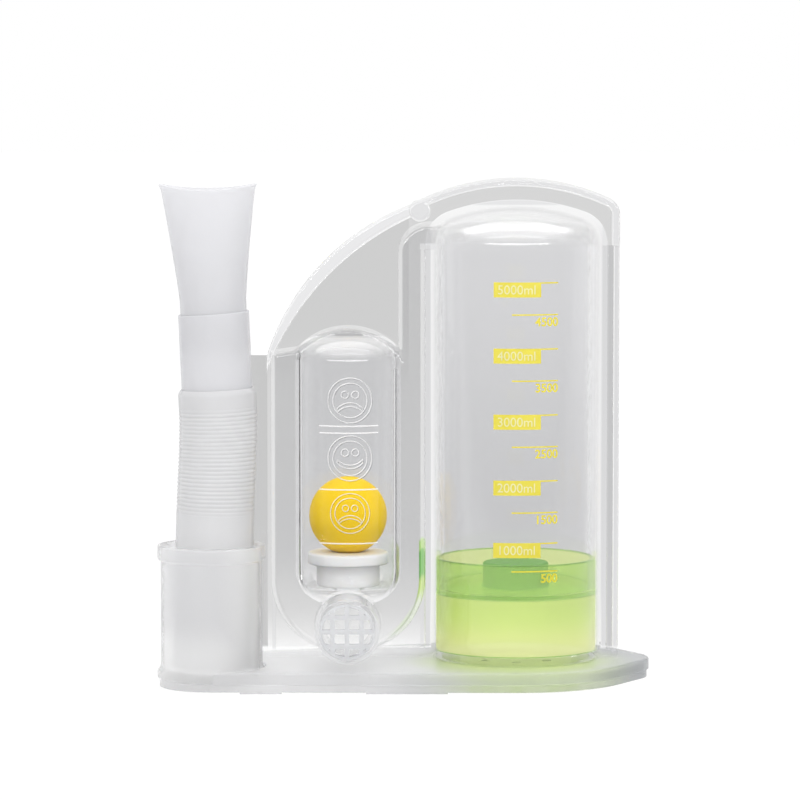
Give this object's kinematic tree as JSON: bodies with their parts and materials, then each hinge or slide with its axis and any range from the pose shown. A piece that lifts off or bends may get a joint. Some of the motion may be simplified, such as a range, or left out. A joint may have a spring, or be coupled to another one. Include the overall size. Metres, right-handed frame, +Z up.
{
  "type": "incentive spirometer",
  "caption": "Clear breathing exerciser with a piston in a volume chamber, a flow ball column, a front hose port and a mouthpiece hose parked in a cup on a flat base.",
  "frame": {"origin": "middle of the base's bounding box, on the surface the object stands on", "axes": "+X to the right seen from the scale side, from the hose cup to the volume chamber; +Y to the back; +Z up"},
  "size_m": [0.1714, 0.084, 0.1756],
  "materials": {
    "frosted_plastic": "frosted, translucent",
    "clear_plastic": "clear, polished",
    "green_plastic": "tinted translucent",
    "yellow_plastic": "moulded, slightly glossy",
    "white_plastic": "moulded, satin",
    "milky_plastic": "milky, translucent, satin"
  },
  "bodies": {
    "base": {"base_plate": "frosted_plastic", "base_deck": "frosted_plastic", "storage_cup": "frosted_plastic", "front_shell": "clear_plastic", "rear_shell": "clear_plastic", "ball_seat": "white_plastic", "hose_port": "clear_plastic", "port_grille": "clear_plastic"},
    "piston": {"piston": "green_plastic"},
    "ball": {"flow_ball": "yellow_plastic"},
    "hose_lower": {"hose_lower_cuff": "milky_plastic", "hose_bellows": "milky_plastic"},
    "hose_upper": {"hose_upper_cuff": "milky_plastic"},
    "sleeve": {"mouthpiece_sleeve": "milky_plastic"},
    "mouthpiece": {"mouthpiece": "milky_plastic"}
  },
  "joints": [
    {"name": "piston_slide", "type": "slide", "parent": "base", "child": "piston", "axis": [0, 0, 1], "range_m": [0, 0.096]},
    {"name": "ball_rise", "type": "slide", "parent": "base", "child": "ball", "axis": [0, 0, 1], "range_m": [0, 0.045]},
    {"name": "hose_lift", "type": "slide", "parent": "base", "child": "hose_lower", "axis": [0, 0, 1], "range_m": [0, 0.06]},
    {"name": "hose_stretch", "type": "slide", "parent": "hose_lower", "child": "hose_upper", "axis": [0.0262, 0, 0.9997], "range_m": [0, 0.04], "deforming": ["hose_bellows"]},
    {"name": "sleeve_pull", "type": "slide", "parent": "hose_upper", "child": "sleeve", "axis": [-0.0419, 0, 0.9991], "range_m": [0, 0.015]},
    {"name": "mouthpiece_pull", "type": "slide", "parent": "sleeve", "child": "mouthpiece", "axis": [-0.0419, 0, 0.9991], "range_m": [0, 0.022]}
  ]
}
